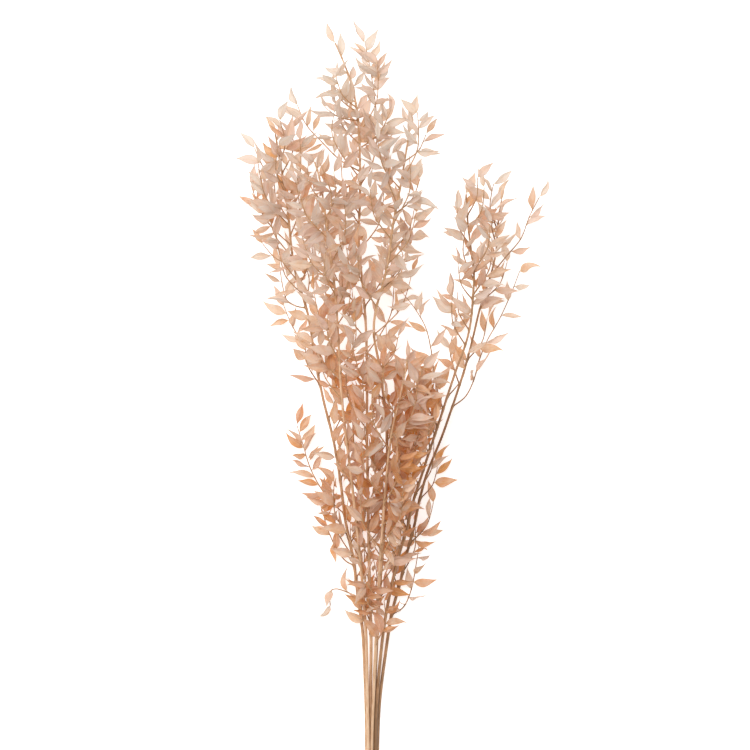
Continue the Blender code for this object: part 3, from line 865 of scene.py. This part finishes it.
def grow_bundle():
    """The whole bundle, with a fine blade for each leaf."""
    space = Space()
    stems = grow_solids(space)
    space.low, space.high = LOWEST, HIGHEST
    for stem, draw in seeded(stems, LATER_SEED):
        stem["later_shoots"] = grow_shoots(space, stem, "later_shoots", "later_", draw)
    space = Space(LOWEST, HIGHEST)
    space.stem_trees = [BVHTree.FromPolygons(*stem["shape"]) for stem in stems]
    for stem in stems:
        stem.update(radii=STEM_RADII, curve=raised(stem["line"], STEM_RADII), is_shoot=False)
        stem.update(tones=STEMS[stem["name"]]["tones"])
        space.add(stem["shape"], stem["name"])
        for shoot in stem["shoots"] + stem["later_shoots"]:
            lay_shoot_curve(stem, shoot)
            space.add(shoot["shape"], shoot["name"])
    for stem, draw in seeded(stems, FORM_SEED):
        for leaf in stem["leaves"]:
            settle_leaf(space, leaf, draw)
    for stem in stems:
        grow_later_leaves(space, stem)
        stem["shoots"] += stem["later_shoots"]
    return stems


def look_up(table, place):
    """The table's value at this place, in even steps between the places that it lists."""
    for (low, value), (high, next_value) in zip(table, table[1:]):
        if place <= high:
            return value + (next_value - value) * max(place - low, 0.0) / (high - low)
    return table[-1][1]


def age_and_shade_leaves(stems):
    """Stores with each leaf how old it looks in its place, low down older, with painted shade added
    where other leaves lie above it.
    """
    draw = random.Random(AGE_SEED)
    woods = [wood for stem in stems for wood in [stem] + stem["shoots"]]
    shifts = {wood["name"]: draw.gauss(0, WOOD_AGE_SPREAD) for wood in woods}
    leaves = [leaf for stem in stems for leaf in stem["leaves"]]
    middles = [leaf["root"] + leaf["way"] * (leaf["length"] / 2) for leaf in leaves]
    tree = KDTree(len(leaves))
    for i, middle in enumerate(middles):
        tree.insert(middle, i)
    tree.balance()
    for leaf, middle in zip(leaves, middles):
        near = tree.find_range(middle, COVER_REACH)
        above = sum(1 for place, _, far in near if place.z - middle.z > COVER_STEEPNESS * far)
        # painted shade: a leaf with others above it is made darker and browner
        leaf["age"] = look_up(AGES_AND_SHADE, middle.y) + PAINTED_COVER_SHADE * min(above / COVERED_BY, 1.0)
        leaf["age"] += shifts[leaf["wood"]["name"]]


class Shape:
    """Points, faces and per-point values of one piece, gathered part by part."""

    def __init__(self, *values):
        self.points = []
        self.faces = []
        self.values = {name: [] for name in values}

    def add(self, points, faces, **values):
        base = len(self.points)
        self.points += points
        self.faces += [tuple(base + i for i in face) for face in faces]
        for name, stored in self.values.items():
            stored += values[name]


def swell(distance, joints, height, reach):
    """How much wider the wood is at this distance for the joints near it."""
    return sum(height * exp(-(((distance - joint) / reach) ** 2)) for joint in joints)


def frame_of(centres, i):
    """The way the wood runs at its i-th centre, the way across it and the way over it."""
    ahead = (centres[min(i + 1, len(centres) - 1)] - centres[max(i - 1, 0)]).normalized()
    across = ahead.cross(UP).normalized()
    return ahead, across, across.cross(ahead)


def add_wood(shape, wood, joints, leaf_joints, sides, step, draw):
    """A round, ridged and jointed branch along the wood's curve, closed at both ends."""
    count = round(length_of(wood["line"]) / step)
    shares = [i / count for i in range(count + 1)]
    centres = raised([smooth_curve(wood["curve"], t) for t in shares], wood["radii"])
    phases = [draw.uniform(0, tau) for _ in RIDGES]
    distance = 0.0
    points, around, state = [], [], []
    for i, t in enumerate(shares):
        ahead, across, over = frame_of(centres, i)
        low_tone, high_tone = wood["tones"]
        tone = low_tone + (high_tone - low_tone) * min(centres[i].y / TONE_REACH, 1.0)
        at_leaf = swell(distance, leaf_joints, *LEAF_SWELL)
        wider = at_leaf + swell(distance, joints, *JOINT_SWELL)
        if wood["is_shoot"]:
            wider += FOOT_FLARE[0] * exp(-((distance / FOOT_FLARE[1]) ** 2))
        for k in range(sides):
            angle = tau * k / sides
            ridge = sum(
                height * cos(number * (angle + RIDGE_TURN * distance) + phase)
                for (number, height), phase in zip(RIDGES, phases)
            )
            radius = radius_at(wood["radii"], t) * (1 + wider + ridge)
            radius *= BUD_WIDTH if i == count else 1
            slant = 0.0
            if i == 0 and not wood["is_shoot"]:
                slant = CUT_SLANT * radius * (1 + cos(angle))
            way_out = across * cos(angle) + over * sin(angle)
            points.append(within(centres[i] + way_out * radius + ahead * slant))
            around.append((cos(angle), sin(angle), distance * MM))
            state.append((min(wider / LEAF_SWELL[0], 1.0), 0.0, tone))
        if i < count:
            distance += (centres[i + 1] - centres[i]).length
    faces = [(b, a, d, c) for a, b, c, d in ring_faces(count + 1, sides)]
    for first, is_start in ((0, True), (count * sides, False)):
        close_end(points, faces, around, state, first, sides, is_start)
    shape.add(points, faces, wood_around=around, wood_state=state)


def close_end(points, faces, around, state, first, sides, is_start):
    """Closes an end of the wood with rings that shrink to its pith."""
    rim = list(range(first, first + sides))
    middle = sum([points[i] for i in rim], Vector((0.0, 0.0, 0.0))) / sides
    before = rim
    for share, pith in CUT_RINGS:
        ring = range(len(points), len(points) + sides)
        for i in rim:
            points.append(middle + (points[i] - middle) * share)
            around.append(around[i])
            state.append((0.0, 1.0 + pith, state[i][2]))
        for k in range(sides):
            a, b = before[k], before[(k + 1) % sides]
            c, d = ring[(k + 1) % sides], ring[k]
            faces.append((a, b, c, d) if is_start else (b, a, d, c))
        before = ring
    faces.append(tuple(before) if is_start else tuple(reversed(before)))


def add_scale(shape, stem, shoot, draw):
    """The small dry scale that stands on the stem just below a shoot and hugs its foot."""
    foot = on_curve(stem, shoot["joint"])
    ahead = (on_curve(stem, shoot["joint"] + 1) - foot).normalized()
    leaving = shoot["curve"][1] - shoot["curve"][0]
    outward = (leaving - ahead * leaving.dot(ahead)).normalized()
    across = ahead.cross(outward)
    share = share_at(stem["line"], shoot["joint"])
    radius = radius_at(stem["radii"], share) * (1 + JOINT_SWELL[0])
    length = draw.uniform(*SCALE_LENGTH)
    points, around, state = [], [], []
    for i in range(SCALE_ROWS + 1):
        t = i / SCALE_ROWS
        for k in range(SCALE_COLUMNS + 1):
            angle = SCALE_HUG * (1 - t ** SCALE_TAPER) * (2 * k / SCALE_COLUMNS - 1)
            way_out = outward * cos(angle) + across * sin(angle)
            stand_off = radius + SCALE_STAND_OFF[0] + SCALE_STAND_OFF[1] * t * t
            up = length * t - SCALE_SUNK
            points.append(within(foot + way_out * stand_off + ahead * up))
            around.append((cos(angle), sin(angle), length * t * MM))
            state.append((SCALE_DARKNESS, 0.0, shoot["tones"][0]))
    faces = sheet_faces(SCALE_ROWS + 1, SCALE_COLUMNS + 1)
    shape.add(points, faces, wood_around=around, wood_state=state)


def add_leaf(shape, leaf, draw):
    """The leaf's fine blade, with what its finish needs: where each point is, and its tones."""
    points, faces = leaf["blade"]
    age = draw.gauss(leaf["age"], AGE_SPREAD)
    tone = (min(max(age, 0.0), OLDEST), draw.random(), draw.random())
    place = [(v, u, 0.0) for u in LEAF_ROWS for v in LEAF_COLUMNS] + [(0.0, 1.0, 0.0)]
    shape.add(points, faces, leaf_place=place, leaf_tone=[tone] * len(points))


class Nodes:
    """Builds a new material's node tree, one short call for each node."""

    def __init__(self, name):
        self.material = bpy.data.materials.new(name)
        self.material.use_nodes = True
        self.tree = self.material.node_tree
        self.shader = self.tree.nodes["Principled BSDF"]

    def put(self, socket, value):
        if isinstance(value, bpy.types.NodeSocket):
            self.tree.links.new(value, socket)
        else:
            socket.default_value = value

    def fill(self, node, **inputs):
        """Links or sets the node's inputs, each named with _ for a blank."""
        for name, value in inputs.items():
            self.put(node.inputs[name.replace("_", " ")], value)

    def node(self, kind, settings=(), **inputs):
        made = self.tree.nodes.new(kind)
        for name, value in dict(settings).items():
            setattr(made, name, value)
        self.fill(made, **inputs)
        return made

    def math(self, operation, a, b=0.0):
        made = self.node("ShaderNodeMath", {"operation": operation})
        self.put(made.inputs[0], a)
        self.put(made.inputs[1], b)
        return made.outputs[0]

    def times(self, a, b):
        return self.math("MULTIPLY", a, b)

    def plus(self, a, b):
        return self.math("ADD", a, b)

    def swing(self, value, width):
        """A value from 0 to 1 as a swing of this width round 0."""
        return self.times(self.math("SUBTRACT", value, 0.5), width)

    def line(self, value, slope, least):
        return self.plus(self.times(value, slope), least)

    def blend(self, share, a, b, kind="MIX"):
        """Colour a, changed towards the plain colour b by the share."""
        made = self.node("ShaderNodeMix", {"data_type": "RGBA", "blend_type": kind}, Factor=share)
        self.put(made.inputs[6], a)
        self.put(made.inputs[7], (*b, 1.0))
        return made.outputs[2]

    def ramp(self, value, stops):
        made = self.node("ShaderNodeValToRGB", Fac=value)
        ramp = made.color_ramp
        while len(ramp.elements) < len(stops):
            ramp.elements.new(1.0)
        for element, (position, colour) in zip(ramp.elements, stops):
            element.position = position
            element.color = (*colour, 1.0)
        return made.outputs["Color"]

    def between(self, value, low, high):
        """0 below low, 1 above high and smooth between them; falling where low is above high."""
        made = self.node("ShaderNodeMapRange", {"interpolation_type": "SMOOTHSTEP"}, Value=value)
        rises = low < high
        self.fill(made, From_Min=min(low, high), From_Max=max(low, high))
        self.fill(made, To_Min=float(not rises), To_Max=float(rises))
        return made.outputs["Result"]

    def stored(self, name):
        """The three values that the mesh stores for each point under this name."""
        attribute = self.node("ShaderNodeAttribute", {"attribute_name": name})
        return self.node("ShaderNodeSeparateXYZ", Vector=attribute.outputs["Vector"]).outputs

    def noise(self, vector, scale, detail=3.0, roughness=0.55):
        inputs = {"Vector": vector, "Scale": scale, "Detail": detail, "Roughness": roughness}
        return self.node("ShaderNodeTexNoise", **inputs).outputs["Fac"]


def leaf_colour(nodes, across, along, age, blush, dryness, place):
    """Pale peach to tan from leaf to leaf, blotched, with paler midrib and browned edges."""
    blotch = nodes.noise(place, BLOTCHES[0])
    # the age carries painted shade too, so the ramp darkens leaves under others and in the thick middle
    colour = nodes.ramp(nodes.plus(age, nodes.swing(blotch, BLOTCHES[1])), LEAF_COLOURS)
    pinker = nodes.times(nodes.between(blush, *PINK_BLUSH), nodes.between(age, *PINK_AGE_AND_SHADE))
    colour = nodes.blend(nodes.times(pinker, PINK_SHARE), colour, BLUSH_COLOUR)
    hue = nodes.line(blush, HUES[1] - HUES[0], HUES[0])
    colour = nodes.node("ShaderNodeHueSaturation", Color=colour, Hue=hue).outputs["Color"]
    spread = nodes.math("ABSOLUTE", across)
    foot = nodes.times(nodes.between(along, *FOOT), FOOT_SHARE)
    colour = nodes.blend(foot, colour, STALK_COLOUR)
    rib = nodes.times(nodes.between(spread, *RIB), RIB_SHARE)
    colour = nodes.blend(rib, colour, RIB_COLOUR)
    ragged = nodes.times(nodes.noise(place, RAGGED[0]), RAGGED[1])
    edge = nodes.between(nodes.plus(spread, ragged), *BROWN_EDGE)
    tip = nodes.between(nodes.plus(along, ragged), *BROWN_TIP)
    browned = nodes.math("MAXIMUM", nodes.times(edge, BROWN_EDGE_SHARE), tip)
    browned = nodes.times(browned, nodes.times(dryness, BROWN_SHARE))
    return nodes.blend(browned, colour, EDGE_COLOUR)


def dried_leaf_material():
    """Papery and matt, with fine lengthwise veins; light that passes through turns orange."""
    nodes = Nodes("dried_leaf")
    place = nodes.node("ShaderNodeTexCoord").outputs["Object"]
    across, along, _ = nodes.stored("leaf_place")
    age, blush, dryness = nodes.stored("leaf_tone")
    colour = leaf_colour(nodes, across, along, age, blush, dryness, place)
    wander = nodes.times(nodes.noise(place, WANDER[0]), WANDER[1])
    vein_angle = nodes.plus(nodes.times(across, VEINS * pi), wander)
    vein = nodes.line(nodes.math("SINE", vein_angle), 0.5, 0.5)
    hollow = nodes.times(nodes.math("POWER", vein, VEIN_POWER), VEIN_SHARE)
    colour = nodes.blend(hollow, colour, VEIN_COLOUR, "MULTIPLY")
    crinkle = nodes.noise(place, *CRINKLE)
    crinkles = nodes.times(crinkle, CRINKLE_HEIGHT)
    height = nodes.math("SUBTRACT", crinkles, nodes.times(vein, VEIN_HEIGHT))
    bump = nodes.node("ShaderNodeBump", Height=height, Strength=0.5, Distance=0.0004)
    normal = bump.outputs["Normal"]
    roughness = nodes.line(crinkle, *LEAF_ROUGHNESS)
    nodes.fill(nodes.shader, Base_Color=colour, Roughness=roughness, Normal=normal)
    nodes.fill(nodes.shader, Specular_IOR_Level=0.25)
    through = nodes.node("ShaderNodeHueSaturation", Color=colour, Saturation=THROUGH_SATURATION)
    glow = nodes.node("ShaderNodeBsdfTranslucent", Color=through.outputs["Color"], Normal=normal)
    mix = nodes.node("ShaderNodeMixShader", Fac=LIGHT_THROUGH)
    nodes.put(mix.inputs[1], nodes.shader.outputs["BSDF"])
    nodes.put(mix.inputs[2], glow.outputs["BSDF"])
    nodes.fill(nodes.tree.nodes["Material Output"], Surface=mix.outputs["Shader"])
    return nodes.material


def stretched_noise(nodes, place, stretch, noise):
    """Noise that is drawn out along the wood."""
    stretched = nodes.node("ShaderNodeMapping", Vector=place, Scale=stretch)
    return nodes.noise(stretched.outputs["Vector"], *noise)


def dried_stem_material():
    """Straw-coloured wood with long streaks, darker joints and a pale pith at the cut."""
    nodes = Nodes("dried_stem")
    around = nodes.node("ShaderNodeAttribute", {"attribute_name": "wood_around"}).outputs["Vector"]
    joint, end, tone = nodes.stored("wood_state")
    streak = stretched_noise(nodes, around, STREAK_STRETCH, STREAKS)
    patch = stretched_noise(nodes, around, PATCH_STRETCH, PATCHES)
    uneven = nodes.plus(nodes.swing(streak, STREAK_SWING), nodes.swing(patch, PATCH_SWING))
    colour = nodes.ramp(nodes.plus(tone, uneven), STEM_COLOURS)
    colour = nodes.blend(nodes.times(joint, KNOT_SHARE), colour, KNOT_COLOUR)
    colour = nodes.blend(nodes.between(end, *CUT), colour, CUT_COLOUR)
    colour = nodes.blend(nodes.between(end, *PITH), colour, PITH_COLOUR)
    bump = nodes.node("ShaderNodeBump", Height=streak, Strength=0.6, Distance=0.0005)
    roughness = nodes.line(streak, *STEM_ROUGHNESS)
    nodes.fill(nodes.shader, Base_Color=colour, Roughness=roughness, Normal=bump.outputs["Normal"])
    return nodes.material


def floor_material():
    """Plain, matt and almost white."""
    nodes = Nodes("floor")
    place = nodes.node("ShaderNodeTexCoord").outputs["Object"]
    colour = nodes.ramp(nodes.noise(place, FLOOR_GRAIN), FLOOR_COLOURS)
    nodes.fill(nodes.shader, Base_Color=colour, Roughness=0.9, Specular_IOR_Level=0.1)
    nodes.fill(nodes.shader, Emission_Color=WHITE, Emission_Strength=FLOOR_GLOW)
    return nodes.material


def add_object(name, data):
    """A new object in the scene that shows this mesh, light or camera."""
    made = bpy.data.objects.new(name, data)
    bpy.context.scene.collection.objects.link(made)
    return made


def make_piece(name, shape, material, node):
    """One mesh object in metres that rides with the part and stands for a solid."""
    mesh = bpy.data.meshes.new(name)
    mesh.from_pydata([(p - MIDDLE) * MM for p in shape.points], [], shape.faces)
    for value_name, rows in shape.values.items():
        stored = mesh.attributes.new(value_name, "FLOAT_VECTOR", "POINT")
        stored.data.foreach_set("vector", [number for row in rows for number in row])
    mesh.shade_smooth()
    mesh.materials.append(material)
    piece = add_object(name, mesh)
    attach(piece, "root")
    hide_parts(node)


def leaf_joints_of(stem, wood):
    return [leaf["distance"] for leaf in stem["leaves"] if leaf["wood"] is wood]


def dress_stem(stem, wood_material, leaf_material, draw):
    """The two pieces that stand for one leafy stem: its wood, and its leaves."""
    wood = Shape("wood_around", "wood_state")
    joints = [shoot["joint"] for shoot in stem["shoots"]]
    add_wood(wood, stem, joints, leaf_joints_of(stem, stem), STEM_RING_SIDES, STEM_RING_STEP, draw)
    for shoot in stem["shoots"]:
        nearby = leaf_joints_of(stem, shoot)
        add_wood(wood, shoot, [], nearby, SHOOT_RING_SIDES, SHOOT_RING_STEP, draw)
        add_scale(wood, stem, shoot, draw)
    leaves = Shape("leaf_place", "leaf_tone")
    for leaf in stem["leaves"]:
        add_leaf(leaves, leaf, draw)
    make_piece(stem["name"] + "_wood", wood, wood_material, stem["name"])
    make_piece(stem["name"] + "_leaves", leaves, leaf_material, stem["name"])


def lay_floor():
    mesh = bpy.data.meshes.new("floor")
    half = FLOOR_SIZE / 2
    corners = [(-half, -half, 0), (half, -half, 0), (half, half, 0), (-half, half, 0)]
    mesh.from_pydata(corners, [], [(0, 1, 2, 3)])
    mesh.materials.append(floor_material())
    floor = add_object("floor", mesh)


def light_scene():
    """Even white light from all round, and a large soft light from the upper left."""
    scene = bpy.context.scene
    world = bpy.data.worlds.new("studio")
    world.use_nodes = True
    background = world.node_tree.nodes["Background"]
    background.inputs["Color"].default_value = WHITE
    background.inputs["Strength"].default_value = WORLD_STRENGTH
    scene.world = world
    scene.view_settings.view_transform = "Standard"
    light = bpy.data.lights.new("key", "AREA")
    light.size = KEY_SIZE
    light.energy = KEY_POWER
    key = add_object("key", light)
    key.location = KEY_PLACE
    key.rotation_euler = (-Vector(KEY_PLACE)).to_track_quat("-Z", "Y").to_euler()


def place_camera():
    """Looks straight down on the bundle, with its tips at the top of the picture."""
    data = bpy.data.cameras.new("camera")
    data.sensor_width = SENSOR_WIDTH
    data.lens = SENSOR_WIDTH * CAMERA_ABOVE / VIEW_WIDTH
    data.clip_end = FLOOR_SIZE
    camera = add_object("camera", data)
    camera.location = Vector(CAMERA_AIM) + UP * CAMERA_ABOVE
    bpy.context.scene.camera = camera


place_camera()
light_scene()
lay_floor()
stem_finish = dried_stem_material()
leaf_finish = dried_leaf_material()
bundle = grow_bundle()
age_and_shade_leaves(bundle)
for leafy_stem, tone_draw in seeded(bundle, TONE_SEED):
    dress_stem(leafy_stem, stem_finish, leaf_finish, tone_draw)
